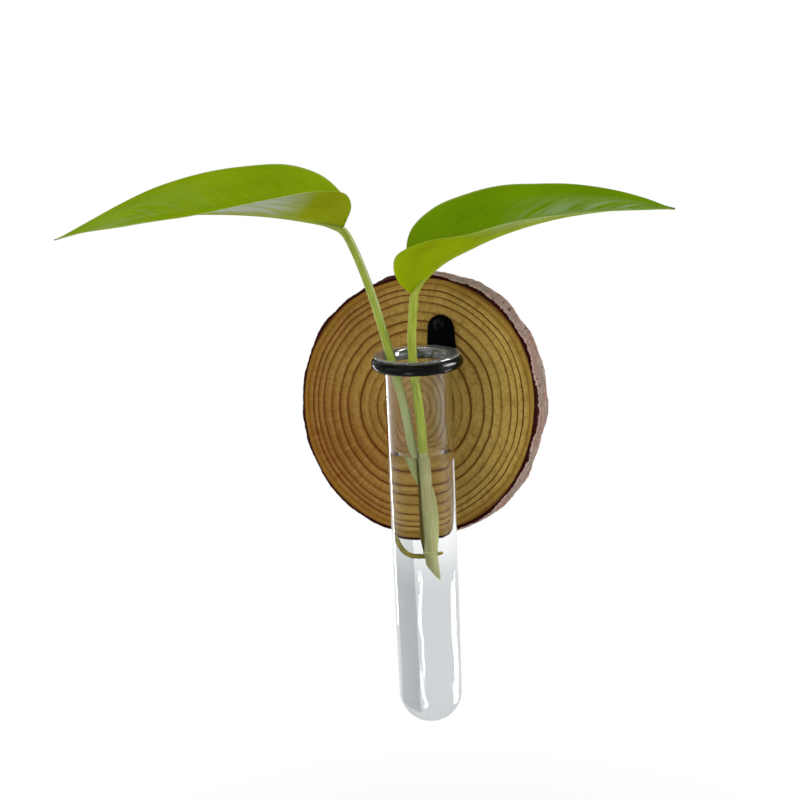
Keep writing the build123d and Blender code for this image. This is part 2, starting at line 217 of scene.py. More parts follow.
def bark_material():
    """Flaky pink-grey skin outside, dark red-brown inner bark on the sawn edge.

    UV's second part is in millimetres."""
    n = Nodes("bark", specular=0.03)
    place = n.scaled(n.coords("Object"), TO_MM, TO_MM, TO_MM)
    v = n.split(n.coords("UV"))[1]
    ragged = n.math("SUBTRACT", n.noise(place, 0.55, 3.0, 0.65), 0.5)
    broad = n.ramp(n.noise(place, 0.055, 1.0), [(0.44, 0.0), (0.62, 1.0)])
    x, _, z = n.split(place)
    top = n.math("MULTIPLY", n.math("LESS_THAN", n.math("MULTIPLY_ADD", ragged, 24.0, x), 3.0),
                 n.math("GREATER_THAN", n.math("MULTIPLY_ADD", ragged, 16.0, z), 46.0))
    front = n.math("MULTIPLY_ADD", top, SLICE, n.math("MULTIPLY", broad, 0.9))
    depth = n.math("SUBTRACT", n.math("MULTIPLY_ADD", ragged, 2.6, v), front)
    skin = n.math("MULTIPLY", n.ramp(depth, [(0.0, 0.0), (0.10, 1.0)]),
                  n.ramp(n.math("MULTIPLY_ADD", v, -1.0, SLICE + 0.6), [(0.0, 0.0), (0.3, 1.0)]))
    plates = n.noise(place, 0.30, 4.0, 0.65)
    fine = n.noise(place, 1.6, 3.0, 0.65)
    cracks = n.noise(n.scaled(place, 1.0, 0.45, 1.0), 0.8, 4.0, 0.7)
    tone = n.mix(n.ramp(plates, [(0.36, 0.0), (0.64, 1.0)]),
                 (0.185, 0.144, 0.112), (0.365, 0.275, 0.232))
    rusty = n.ramp(n.noise(place, 0.12, 2.0), [(0.42, 0.0), (0.60, 0.6)])
    tone = n.mix(rusty, tone, (0.300, 0.165, 0.125))
    tone = n.mix(n.ramp(fine, [(0.34, 0.8), (0.53, 0.0)]), tone, (0.085, 0.058, 0.042))
    tone = n.mix(n.ramp(cracks, [(0.34, 0.9), (0.42, 0.0)]), tone, (0.040, 0.014, 0.010))
    # Painted highlight: a pale pink line along the edge where the skin begins on the sawn front.
    tone = n.mix(n.ramp(depth, [(0.0, 0.7), (0.35, 0.5), (0.8, 0.0)]), tone, (0.520, 0.370, 0.345))
    inner = n.mix(n.ramp(fine, [(0.40, 0.0), (0.72, 1.0)]),
                  (0.012, 0.002, 0.0015), (0.068, 0.010, 0.006))
    wood = n.math("LESS_THAN", n.math("MULTIPLY_ADD", ragged, 0.8, v), -1.80)
    inner = n.mix(wood, inner, n.mix(fine, (0.150, 0.070, 0.010), (0.240, 0.125, 0.022)))
    n.colour(n.mix(skin, inner, tone))
    n.rough(0.85)
    rough = n.math("MULTIPLY_ADD", fine, 0.4, cracks)
    n.bump(n.math("ADD", n.math("MULTIPLY", plates, 0.5), rough), 0.0005, 0.8)
    return n.material


def black_material(name, rough, specular):
    """Black paint on steel: faint orange peel and a little unevenness in its gloss."""
    n = Nodes(name, specular=specular)
    place = n.coords("Object")
    peel = n.noise(place, 900.0, 2.0)
    cloud = n.noise(place, 90.0, 3.0)
    n.colour(n.mix(n.ramp(cloud, [(0.3, 0.0), (0.7, 1.0)]),
                   (0.0010, 0.0013, 0.0012), (0.0028, 0.0030, 0.0028)))
    n.rough(n.math("MULTIPLY_ADD", cloud, 0.14, rough))
    n.bump(peel, 0.00004, 0.35)
    return n.material


def glass_material(name, ior, shine, low_shine, clear=1.0):
    """Clear glass with the slight waviness of drawn tube; below the wood it is painted grey, a painted shade
    that stands in for the grey surroundings seen through it.

    low_shine is its shine below the wood, and clear the share of light that passes."""
    n = Nodes(name, rough=0.0, ior=ior, clear=clear)
    place = n.coords("Object")
    ripple = n.noise(n.scaled(place, 1.0, 1.0, 2.2), 130.0, 3.0, 0.6)
    # Painted shade: this grey tone tints the glass below the wood, standing in for the grey surroundings seen
    # through the tube; above it the glass is nearly clear.
    tone = n.mix(n.noise(place, 30.0, 1.0), (0.775, 0.796, 0.806), (0.805, 0.822, 0.830))
    tube_length, bottom_share = 0.150, 0.8077
    height = n.math("MULTIPLY_ADD", n.split(place)[2], 1.0 / tube_length, bottom_share)
    upper = n.ramp(height, [(0.40, 0.0), (0.50, 1.0)])
    n.colour(n.mix(upper, tone, (0.965, 0.972, 0.968)))
    low, high = (low_shine, low_shine, low_shine), (shine, shine, shine)
    n.put(high if low == high else n.mix(upper, low, high), n.shader.inputs["Specular Tint"])
    n.bump(ripple, 0.00016, 0.20)
    return n.material


def water_material():
    """Still clear water."""
    n = Nodes("water", rough=0.0, ior=1.06, clear=1.0)
    place = n.coords("Object")
    n.colour(n.mix(n.noise(place, 60.0, 1.0), (0.985, 0.985, 0.965), (1.0, 1.0, 0.99)))
    n.bump(n.noise(n.scaled(place, 1.0, 1.0, 0.3), 220.0, 2.0), 0.00008, 0.06)
    return n.material


def wetted_material():
    """Where the water meets the glass: clear, but for a faint brownish film just under the surface, painted
    to stand in for the wood seen through the waterline.
    """
    n = Nodes("water_side", rough=0.6, specular=0.0)
    place = n.coords("Object")
    # Painted refraction: this brownish film stands in for the wood seen through the waterline.
    n.colour(n.mix(n.noise(place, 60.0, 1.0), (0.25, 0.18, 0.08), (0.30, 0.22, 0.11)))
    painted_film_depth = 8.0
    below = n.math("MULTIPLY_ADD", n.split(place)[2], 1.0 / (painted_film_depth * MM), 1.0 - WATER_Z / painted_film_depth)
    n.put(n.ramp(below, [(0.0, 0.0), (0.5, 0.03), (1.0, 0.10)]), n.shader.inputs["Alpha"])
    return n.material


def leaf_material(name, base, deep, pale, sheen_patches):
    """Waxy leaf with side veins that lean to the tip. UV runs from stalk to tip and margin to margin.

    Each patch of painted sheen, silvery-white streaks that stand in for the waxy surface's reflection, has
    its place along and across, as ramp stops, its streaks' fineness, its strength and how bare it is."""
    n = Nodes(name, specular=0.0)
    uv = n.coords("UV")
    along, across, _ = n.split(uv)
    off = n.math("ABSOLUTE", n.math("MULTIPLY_ADD", across, 2.0, -1.0))
    lag = n.math("MULTIPLY", n.math("POWER", off, VEIN_BEND), VEIN_LAG)
    flow = n.math("SUBTRACT", along, lag)
    wander = n.math("MULTIPLY", n.noise(n.scaled(uv, 6.0, 5.0, 1.0), 1.0, 2.0), 0.03)
    vein = n.math("FRACT", n.math("MULTIPLY", n.math("ADD", flow, wander), VEINS))
    beside = n.math("ABSOLUTE", n.math("SUBTRACT", vein, 0.5))
    line = n.ramp(beside, [(0.0, 1.0), (0.05, 0.55), (0.16, 0.0)])
    line = n.math("MULTIPLY", line, n.ramp(off, [(0.0, 1.0), (0.55, 0.6), (0.93, 0.0)]))
    drawn = n.join(n.math("MULTIPLY", flow, 120.0), n.math("MULTIPLY", off, 5.0), 0.0)
    fibre = n.noise(drawn, 1.0, 3.0, 0.6)
    cloud = n.noise(n.scaled(uv, 5.0, 4.0, 1.0), 1.0, 3.0)
    speck = n.noise(n.scaled(uv, 160.0, 90.0, 1.0), 1.0, 2.0)
    tone = n.mix(n.ramp(cloud, [(0.32, 0.0), (0.68, 1.0)]), base, deep)
    tone = n.mix(n.ramp(fibre, [(0.42, 0.0), (0.78, 0.35)]), tone, pale)
    tone = n.mix(n.ramp(speck, [(0.40, 0.30), (0.55, 0.0)]), tone, deep)
    tone = n.mix(n.math("MULTIPLY", line, 0.16), tone, pale)
    for seed, (where, width, fine, strength, bare) in enumerate(sheen_patches):
        drawn = n.join(n.math("MULTIPLY", flow, fine), n.math("MULTIPLY", off, 2.2), 2.0 + 3.0 * seed)
        streak = n.noise(drawn, 1.0, 3.0)
        band = n.math("MULTIPLY", n.ramp(along, where), n.ramp(across, width))
        band = n.math("MULTIPLY", band, n.ramp(streak, [(bare, 0.0), (bare + 0.22, 1.0)]))
        # Painted sheen: a silvery-white reflection painted into the colour.
        tone = n.mix(n.math("MULTIPLY", band, strength), tone, (0.450, 0.500, 0.420))
    rib = n.ramp(off, [(0.0, 0.75), (0.035, 0.45), (0.07, 0.0)])
    tone = n.mix(rib, tone, pale)
    rim = n.ramp(off, [(0.955, 0.0), (0.975, 0.22), (1.0, 0.22)])
    tone = n.mix(rim, tone, (0.45, 0.52, 0.13))
    tone = n.mix(n.ramp(along, [(0.982, 0.0), (1.0, 0.9)]), tone, (0.040, 0.040, 0.012))
    n.colour(tone)
    n.rough(n.math("MULTIPLY_ADD", fibre, 0.16, 0.34))
    height = n.math("ADD", n.math("MULTIPLY", line, -0.6), n.math("MULTIPLY", fibre, 0.35))
    n.bump(height, 0.00025, 0.4)
    return n.material


def stalk_material(name, light, mid, dark, rough=0.38, glass_veil=0.0):
    """Smooth stalk with fine lengthwise lines. UV runs round and along, in turns and millimetres.

    glass_veil is how far the part inside the tube is painted paler: a painted reflection that stands in for
    the glass's pale veil in front of it."""
    n = Nodes(name, specular=0.06)
    uv = n.coords("UV")
    lines = n.noise(n.scaled(uv, 34.0, 0.10, 1.0), 1.0, 3.0, 0.6)
    cloud = n.noise(n.scaled(uv, 3.0, 0.09, 1.0), 1.0, 2.0)
    speck = n.noise(n.scaled(uv, 60.0, 1.6, 1.0), 1.0, 2.0)
    tone = n.mix(n.ramp(cloud, [(0.30, 0.0), (0.70, 1.0)]), mid, light)
    tone = n.mix(n.ramp(lines, [(0.38, 0.65), (0.60, 0.0)]), tone, dark)
    tone = n.mix(n.ramp(speck, [(0.58, 0.0), (0.75, 0.4)]), tone, light)
    if glass_veil:
        mouth = 30.0
        inside = n.math("MULTIPLY_ADD", n.split(n.coords("Object"))[2], -1.0 / (mouth * MM), 1.0)
        # Painted reflection: paler inside the tube, for the pale veil of the glass in front of the stalk.
        tone = n.mix(n.ramp(inside, [(0.20, 0.0), (0.70, glass_veil)]), tone, (0.420, 0.460, 0.230))
    n.colour(tone)
    n.rough(n.math("MULTIPLY_ADD", lines, 0.2, rough - 0.1))
    n.bump(n.math("ADD", lines, n.math("MULTIPLY", speck, 0.3)), 0.00012, 0.4)
    return n.material


def floor_material():
    """Pale floor: its light shows near the object, with the shadow, and fades into the white around."""
    n = Nodes("pale_floor", rough=0.9, specular=0.0)
    place = n.coords("Object")
    x, y, _ = n.split(place)
    far = n.math("SQRT", n.math("ADD", n.math("MULTIPLY", x, x), n.math("MULTIPLY", y, y)))
    mottle = n.noise(place, 220.0, 3.0)
    n.colour(n.mix(mottle, (0.86, 0.86, 0.86), (0.90, 0.90, 0.90)))
    rays = n.node("LightPath").outputs
    seen = n.math("MAXIMUM", rays["Is Camera Ray"], rays["Is Glossy Ray"])
    seen = n.math("MAXIMUM", seen, rays["Is Transmission Ray"])
    fade = n.math("MULTIPLY", seen, n.ramp(far, [(0.16, 0.0), (0.50, 1.0)], "EASE"))
    white = n.node("Emission", {"Color": (1.0, 1.0, 1.0), "Strength": 1.0}).outputs[0]
    both = n.node("MixShader", {0: fade, 1: n.shader.outputs[0], 2: white}).outputs[0]
    n.tree.links.new(both, n.tree.nodes["Material Output"].inputs["Surface"])
    return n.material


# Mesh helpers
def new_object(name, points, faces, uvs, material):
    """Smooth mesh object from points in millimetres."""
    mesh = bpy.data.meshes.new(name)
    mesh.from_pydata((np.asarray(points) * MM).tolist(), [], faces)
    layer = mesh.uv_layers.new(name="UVMap")
    layer.data.foreach_set("uv", np.asarray(uvs, dtype=np.float32).ravel())
    shape = bmesh.new()
    shape.from_mesh(mesh)
    bmesh.ops.recalc_face_normals(shape, faces=shape.faces)
    shape.to_mesh(mesh)
    shape.free()
    mesh.polygons.foreach_set("use_smooth", [True] * len(mesh.polygons))
    mesh.materials.append(material)
    made = bpy.data.objects.new(name, mesh)
    bpy.context.scene.collection.objects.link(made)
    return made


def skin(name, grid, uv, material, close_rows=False):
    """Closed skin from rows of points; each row is a ring, and the last meets the first or both are capped.

    uv has one more column than the grid."""
    rows, cols = grid.shape[:2]
    points = grid.reshape(-1, 3)
    faces, coords = [], []
    for i in range(rows if close_rows else rows - 1):
        below = (i + 1) % rows
        for j in range(cols):
            k = (j + 1) % cols
            faces.append((i * cols + j, i * cols + k, below * cols + k, below * cols + j))
            coords += [uv[i, j], uv[i, j + 1], uv[i + 1, j + 1], uv[i + 1, j]]
    if not close_rows:
        points = np.vstack([points, grid[0].mean(axis=0), grid[-1].mean(axis=0)])
        for row, tip in ((0, rows * cols), (rows - 1, rows * cols + 1)):
            for j in range(cols):
                faces.append((row * cols + j, row * cols + (j + 1) % cols, tip))
                coords += [uv[row, j], uv[row, j + 1], (uv[row, j] + uv[row, j + 1]) / 2]
    return new_object(name, points, faces, coords, material)


def revolve(name, profile, material, steps=192):
    """Closed solid of revolution about the tube's axis; the profile runs from axis to axis."""
    angles = np.arange(steps) * 2 * math.pi / steps
    profile = np.asarray(profile)
    inner = profile[1:-1]
    grid = np.empty((len(inner), steps, 3))
    grid[..., 0] = TUBE_AXIS[0] + inner[:, :1] * np.cos(angles)
    grid[..., 1] = TUBE_AXIS[1] + inner[:, :1] * np.sin(angles)
    grid[..., 2] = inner[:, 1:]
    uv = np.stack(np.meshgrid(np.arange(steps + 1) / steps, np.arange(len(inner)) / len(inner)), axis=-1)
    made = skin(name, grid, uv, material)
    tips = made.data.vertices
    for tip, row in ((len(tips) - 2, profile[0]), (len(tips) - 1, profile[-1])):
        tips[tip].co = (TUBE_AXIS[0] * MM, TUBE_AXIS[1] * MM, row[1] * MM)
    return made


def arc(centre, radius, start, end, count):
    """Points on an arc in a profile, angles in degrees."""
    turn = np.radians(np.linspace(start, end, count))
    return [(centre[0] + radius * math.cos(a), centre[1] + radius * math.sin(a)) for a in turn]


def bent(xs, ys, x):
    """Smooth curve through a table of values."""
    xs, ys, x = np.asarray(xs, float), np.asarray(ys, float), np.asarray(x, float)
    gap = np.diff(xs)
    slope = np.diff(ys) / gap
    tangent = np.empty_like(ys)
    tangent[1:-1] = (slope[:-1] * gap[1:] + slope[1:] * gap[:-1]) / (gap[1:] + gap[:-1])
    tangent[0] = 1.5 * slope[0] - 0.5 * tangent[1]
    tangent[-1] = 1.5 * slope[-1] - 0.5 * tangent[-2]
    i = np.clip(np.searchsorted(xs, x, side="right") - 1, 0, len(gap) - 1)
    t = (x - xs[i]) / gap[i]
    t2, t3 = t * t, t * t * t
    return ((2 * t3 - 3 * t2 + 1) * ys[i] + (t3 - 2 * t2 + t) * gap[i] * tangent[i]
            + (3 * t2 - 2 * t3) * ys[i + 1] + (t3 - t2) * gap[i] * tangent[i + 1])


def flowing(control, step=0.5):
    """Evenly spaced points on a smooth line drawn by control points, from the first to the last."""
    control = np.asarray(control, float)
    middles = (control[1:] + control[:-1]) / 2
    starts = np.vstack([control[:1], middles[1:-1]]) if len(control) > 3 else control[:1]
    ends = np.vstack([middles[1:-1], control[-1:]]) if len(control) > 3 else control[-1:]
    t = np.linspace(0, 1, 60)[:, None]
    line = np.vstack([(1 - t) ** 2 * a + 2 * t * (1 - t) * c + t ** 2 * b
                      for a, c, b in zip(starts, control[1:-1], ends)])
    run = np.concatenate([[0], np.cumsum(np.linalg.norm(np.diff(line, axis=0), axis=1))])
    keep = np.concatenate([[True], np.diff(run) > 1e-9])
    even = np.linspace(0, run[-1], max(int(run[-1] / step), 8))
    return np.stack([np.interp(even, run[keep], line[keep, k]) for k in range(3)], axis=1)


def stalk(name, line, radii, material, sides, ribs=0.0):
    """Round stalk along a line, its radius given for every point, with faint lengthwise ribs."""
    ahead = np.gradient(line, axis=0)
    ahead /= np.linalg.norm(ahead, axis=1)[:, None]
    side = np.cross(ahead[0], (0.0, 0.0, 1.0) if abs(ahead[0][2]) < 0.9 else (0.0, 1.0, 0.0))
    side /= np.linalg.norm(side)
    turn = np.arange(sides) * 2 * math.pi / sides
    shape = 1 + ribs * np.cos(5 * turn)
    grid = np.empty((len(line), sides, 3))
    for i, (point, along) in enumerate(zip(line, ahead)):
        side = side - along * np.dot(side, along)
        side /= np.linalg.norm(side)
        up = np.cross(along, side)
        circle = np.cos(turn)[:, None] * side + np.sin(turn)[:, None] * up
        grid[i] = point + radii[i] * shape[:, None] * circle
    run = np.concatenate([[0], np.cumsum(np.linalg.norm(np.diff(line, axis=0), axis=1))])
    uv = np.stack(np.meshgrid(np.arange(sides + 1) / sides, run), axis=-1)
    return skin(name, grid, uv, material)


def wave(points, scale, seed):
    """Smooth noise at each point, between about -1 and 1."""
    return np.array([noise.noise(Vector(p) * scale + Vector((seed, 0, 0))) for p in points])


# Glass tube and water
def glass_tube():
    """The tube, its surfaces sorted by what is on their far side: air, water, or the rim."""
    lip = TUBE_RADIUS + LIP_REACH - LIP / 2
    outside = arc((0, ROUND_Z), TUBE_RADIUS, -90, 0, 36)
    outside += [(TUBE_RADIUS, z) for z in np.linspace(ROUND_Z, FLARE_Z, 240)[1:]]
    outside += arc((RING_RADIUS, FLARE_Z), FLARE, 180, 90, 14)[1:]
    outside += arc((lip, FLARE_Z + FLARE + LIP / 2), LIP / 2, -90, 90, 14)
    inside = [(RING_RADIUS + (FLARE + WALL) * across, FLARE_Z + (FLARE + LIP) * up)
              for across, up in arc((0, 0), 1, 90, 180, 16)]
    inside += [(BORE, z) for z in np.linspace(FLARE_Z, WATER_Z + MENISCUS, 16)[1:]]
    inside += [(BORE, z) for z in np.linspace(WATER_Z + MENISCUS, ROUND_Z, 46)[1:]]
    inside += arc((0, ROUND_Z), BORE, 0, -90, 36)[1:]
    made = revolve("glass_tube", outside + inside, CLEAR_GLASS)
    for material in (WET_GLASS, RIM_GLASS, DRY_GLASS, BAND_GLASS):
        made.data.materials.append(material)
    for face in made.data.polygons:
        x, y, z = np.array(face.center) / MM - np.array((TUBE_AXIS[0], TUBE_AXIS[1], 0.0))
        reach = math.sqrt(x * x + y * y + min(0.0, z - ROUND_Z) ** 2)
        within = reach < BORE + 0.3
        wet = within and z < WATER_Z + MENISCUS
        behind = x * LEAN_BACK[0] + y * LEAN_BACK[1]
        band = not within and WATER_Z - 0.6 * behind < z < WATER_Z + MENISCUS
        rim = z > FLARE_Z - 1
        face.material_index = 1 if wet else 2 if rim else 3 if within else 4 if band else 0
    return made


def water_fill():
    """Water up to the glass; its surface climbs a little at the wall."""
    wet = BORE - 0.02
    profile = arc((0, ROUND_Z), wet, -90, 0, 30)
    profile += [(wet, z) for z in np.linspace(ROUND_Z, WATER_Z + MENISCUS, 50)[1:]]
    for share in np.linspace(0, 1, 30)[1:] ** 1.6:
        radius = wet * (1 - share)
        profile.append((radius, WATER_Z + MENISCUS * math.exp(-(wet - radius) / 0.9)))
    made = revolve("water", profile, WATER, 160)
    made.data.materials.append(WATER_SIDE)
    for face in made.data.polygons:
        face.material_index = 0 if face.normal.z > 0.3 else 1
    return made


# Bark
def outline(angle):
    """The wood's radius round the slice, as a share of its middle radius."""
    return 1 + sum(share * np.cos(count * angle + math.radians(phase))
                   for count, phase, share in OUTLINE_LOBES)


def bark_reach(angle, share):
    """Bark's thickness round the slice, share 0 at the back and 1 at the front.

    It hangs lower toward the back."""
    layer = 3.0 * share
    ripple = (0.14 * np.sin(7 * angle + np.radians(20 + 55 * layer))
              + 0.12 * np.sin(13 * angle + np.radians(75 + 110 * layer))
              + 0.10 * np.sin(23 * angle + np.radians(10 + 160 * layer)))
    return BARK * (1 + ripple) - BARK_LEAN * (1 - share) * np.sin(angle)


def bark_ring():
    """Bark as it grows: thin scales that overlap in steps, a chipped front edge, plain sawn faces."""
    steps = 960
    angles = np.arange(steps) * 2 * math.pi / steps
    circle = np.stack([np.cos(angles), np.sin(angles)], axis=1)
    rows, marks = [], []

    def scales(depth):
        place = [(WOOD_RADIUS * x, depth * 0.55, WOOD_RADIUS * z) for x, z in circle]
        broad = wave(place, 0.16, 3.0)
        steps_up = np.round(broad * 3.2) / 3.2
        return 0.24 * steps_up + 0.18 * wave(place, 0.55, 9.0) + 0.12 * wave(place, 1.7, 21.0)

    edge = [(WOOD_RADIUS * x, 0, WOOD_RADIUS * z) for x, z in circle]
    chips = 0.40 * np.clip(wave(edge, 0.45, 40.0), 0, 1)
    worn = 0.38 * bark_reach(angles, 1.0)
    for share in np.linspace(0, 1, 9)[:-1]:
        rows.append((share * (bark_reach(angles, 1.0) - worn + scales(-SLICE)), -SLICE + chips * share))
        marks.append((share - 1) * BARK)
    for share in np.linspace(0, 1, 34) ** 1.4:
        depth = -SLICE * (1 - share)
        rounded = worn * math.exp(-share * SLICE / 1.1) + 0.2 * math.exp(-(1 - share) * 16)
        reach = bark_reach(angles, 1 - share) + scales(depth) - rounded
        rows.append((reach, depth + chips * math.exp(-share * 5)))
        marks.append(share * SLICE)
    for share in (0.66, 0.33, 0.0):
        rows.append((share * bark_reach(angles, 0.0), np.zeros(steps)))
        marks.append(SLICE + (1 - share) * BARK)
    rows.append((np.full(steps, -0.02), np.full(steps, -SLICE / 2)))
    marks.append(SLICE + BARK + 1)
    grid = np.empty((len(rows), steps, 3))
    uv = np.empty((len(rows) + 1, steps + 1, 2))
    uv[:, :, 0] = np.arange(steps + 1) / steps
    for i, ((reach, y), mark) in enumerate(zip(rows, marks)):
        out = WOOD_RADIUS * outline(angles) + np.maximum(reach, -0.02)
        grid[i, :, 0] = out * circle[:, 0]
        grid[i, :, 1] = y
        grid[i, :, 2] = out * circle[:, 1]
        uv[i, :, 1] = mark
    uv[-1, :, 1] = SLICE + BARK + 2
    return skin("bark", grid, uv, BARK_SKIN, close_rows=True)


# The cutting
LEAN = math.radians(30)
LEAN_SIDE = np.array((math.cos(LEAN), math.sin(LEAN), 0.0))
LEAN_BACK = np.array((-math.sin(LEAN), math.cos(LEAN), 0.0))


def in_tube(side, back, drop):
    """Point in the tube: side and back in shares of the bore, drop in shares of the stem's depth."""
    return TUBE_AXIS + LEAN_SIDE * side * BORE + LEAN_BACK * back * BORE - np.array((0, 0, drop * STEM_DEPTH))


STEM_TOP = in_tube(0.07, 0, STEM_TOP_DEPTH / STEM_DEPTH)
STEM_NODE = in_tube(0.14, 0, NODE_DEPTH / STEM_DEPTH)
STEM_END = in_tube(0.21, 0, 1)


class Leaf:
    """A folded blade: its midrib's curve and the two halves' margins along it."""

    stations = (0.0, 0.03, 0.08, 0.16, 0.27, 0.40, 0.53, 0.66, 0.78, 0.89, 0.96, 1.0)

    def __init__(self, base, heading, reach, half_width, rise, near, far):
        self.half_width, self.near, self.far = half_width, near, far
        out = np.array((math.cos(math.radians(heading)), math.sin(math.radians(heading)), 0.0))
        along = np.linspace(0, 1, 500)
        height = bent([a for a, _ in rise], [b for _, b in rise], along)
        upward = height[:, None] * np.array((0, 0, 1.0))
        self.line = TUBE_AXIS + np.array(base) + reach * (along[:, None] * out + upward)
        run = np.concatenate([[0], np.cumsum(np.linalg.norm(np.diff(self.line, axis=0), axis=1))])
        self.length = run[-1]
        self.share = run / run[-1]
        self.tangent = np.gradient(self.line, axis=0)
        self.tangent /= np.linalg.norm(self.tangent, axis=1)[:, None]

    def rib(self, share):
        """Point, outward side and upright at shares of the midrib."""
        held = np.clip(share, 0, 1)

        def pick(table):
            return np.stack([np.interp(held, self.share, table[:, k]) for k in range(3)], axis=-1)

        ahead = pick(self.tangent)
        point = pick(self.line) + ahead * np.minimum(share, 0)[:, None] * self.length
        side = np.stack([ahead[:, 1], -ahead[:, 0], np.zeros(len(ahead))], axis=1)
        side /= np.linalg.norm(side, axis=1)[:, None]
        side *= np.where(side[:, 1:2] < 0, 1, -1)
        upright = np.cross(ahead, side)
        upright *= np.where(upright[:, 2:3] > 0, 1, -1)
        return point, side, upright

    def half(self, table, facing, share):
        """Margin, upper direction and width of one half at the given shares."""
        along, width, fold = (np.array(row, float) for row in table)
        point, side, upright = self.rib(along)
        fold, width = np.radians(fold)[:, None], width * self.half_width
        outward = side * facing
        margin = point + width[:, None] * (np.cos(fold) * outward + np.sin(fold) * upright)
        over = np.cos(fold) * upright - np.sin(fold) * outward
        run = np.concatenate([[0], np.cumsum(np.sqrt(np.linalg.norm(np.diff(margin, axis=0), axis=1)))])
        at = bent(self.stations, run, share)

        def smooth(rows):
            return np.stack([bent(run, column, at) for column in rows.T], axis=1)

        return smooth(margin), smooth(over), bent(run, width, at)

    def blade(self, name, seed, upper, under):
        """The blade's mesh: quilted between the side veins, thicker at the midrib, wavy at its margins."""
        share = np.concatenate([np.linspace(0, 0.10, 36)[:-1], np.linspace(0.10, 0.90, 100)[:-1],
                                np.linspace(0.90, 1.0, 28)])
        crest, _, upright = self.rib(share)
        cross = np.concatenate([[0.0, 0.012, 0.03, 0.055, 0.09], np.linspace(0.14, 1.0, 24)])
        tops, lows, marks = [], [], []
        for table, facing in ((self.near, 1), (self.far, -1)):
            margin, over, width = self.half(table, facing, share)
            for t in cross[::-1] if facing == 1 else cross[1:]:
                flow = share - VEIN_LAG * t ** VEIN_BEND
                between = np.abs((flow * VEINS) % 1.0 - 0.5) * 2
                inward = min(t * 6, 1) * (1 - t ** 4)
                quilt = 0.07 * (between ** 2 - 0.4) * inward * np.clip(6 * share * (1 - share), 0, 1)
                ends = np.clip(4 * share * (1 - share), 0, 1)
                sway = 0.14 * t ** 2 * np.sin(share * 21 + seed + facing) * ends
                lift = 4 * t * (1 - t) * BLADE_BULGE * width + quilt + sway
                point = crest + (margin - crest) * t + over * lift[:, None]
                blend = over * t + upright * (1 - t)
                blend /= np.linalg.norm(blend, axis=1)[:, None]
                far_out = t * width
                ridge = (0.85 * (1 - share) + 0.15 * share) * np.exp(-(far_out / 1.1) ** 2)
                groove = 0.30 * (1 - 0.7 * share) * np.exp(-(far_out / 0.8) ** 2)
                thick = 0.34 * (1 - 0.55 * t) + ridge
                tops.append(point - blend * groove[:, None])
                lows.append(point - blend * thick[:, None])
                marks.append(0.5 - 0.5 * t * facing)
        count = len(tops)
        grid = np.stack(tops + lows[::-1], axis=1)
        uv = np.empty((len(share), 2 * count + 1, 2))
        uv[..., 0] = share[:, None]
        uv[..., 1] = np.array(marks + marks[::-1] + marks[:1])
        made = skin(name, grid, uv, upper)
        made.data.materials.append(under)
        index = [1 if (p % (2 * count)) >= count else 0 for p in range((len(share) - 1) * 2 * count)]
        index += [1] * (len(made.data.polygons) - len(index))
        made.data.polygons.foreach_set("material_index", index)
        return made

    def stalk_end(self):
        """Where the stalk meets the blade, and its way along under the midrib."""
        crest, _, over = self.rib(np.array([0.0, 0.035, 0.075, 0.12]))
        return list(crest - over * np.array([[0.7], [0.5], [0.3], [0.1]]))


LEFT = Leaf(
    (-27.9, -1.5, 49.05), -160.1, 114.4, 30.0,
    ((0, 0), (0.05, 0.0135), (0.2, 0.0425), (0.4, 0.0605), (0.6, 0.0586), (0.8, 0.0331), (1, -0.011)),
    ((0, -0.024, -0.004, 0.072, 0.204, 0.361, 0.513, 0.655, 0.787, 0.899, 0.965, 1),
     (0.075, 0.43, 0.62, 0.83, 0.96, 0.93, 0.80, 0.60, 0.38, 0.17, 0.085, 0.035),
     (30, 48, 48, 32, 16, 6, 0, -4, -5, -5, -3, 0)),
    ((0, 0.006, 0.062, 0.138, 0.255, 0.387, 0.523, 0.655, 0.787, 0.899, 0.965, 1),
     (0.075, 0.34, 0.58, 0.82, 1, 0.96, 0.82, 0.61, 0.38, 0.18, 0.085, 0.035),
     (40, 45, 43, 39, 35, 33, 34, 35, 34, 30, 18, 0)))
RIGHT = Leaf(
    (-0.5, -0.4, 25.6), 7.4, 93.0, 28.0,
    ((0, 0), (0.03, 0.036), (0.085, 0.090), (0.26, 0.188), (0.5, 0.272), (0.75, 0.314), (1, 0.318)),
    ((0, 0.022, 0.055, 0.115, 0.235, 0.37, 0.51, 0.65, 0.78, 0.90, 0.965, 1),
     (0.075, 0.30, 0.50, 0.71, 0.855, 0.87, 0.76, 0.58, 0.37, 0.17, 0.07, 0.03),
     (40, 34, 34, 30, 18, 9, 7, 5, 2, -2, -3, 0)),
    ((0, 0.065, 0.12, 0.19, 0.29, 0.41, 0.535, 0.66, 0.79, 0.90, 0.965, 1),
     (0.075, 0.42, 0.69, 0.845, 0.935, 0.92, 0.80, 0.62, 0.40, 0.20, 0.09, 0.03),
     (60, 70, 64, 55, 45, 38, 33, 31, 31, 29, 15, 0)))


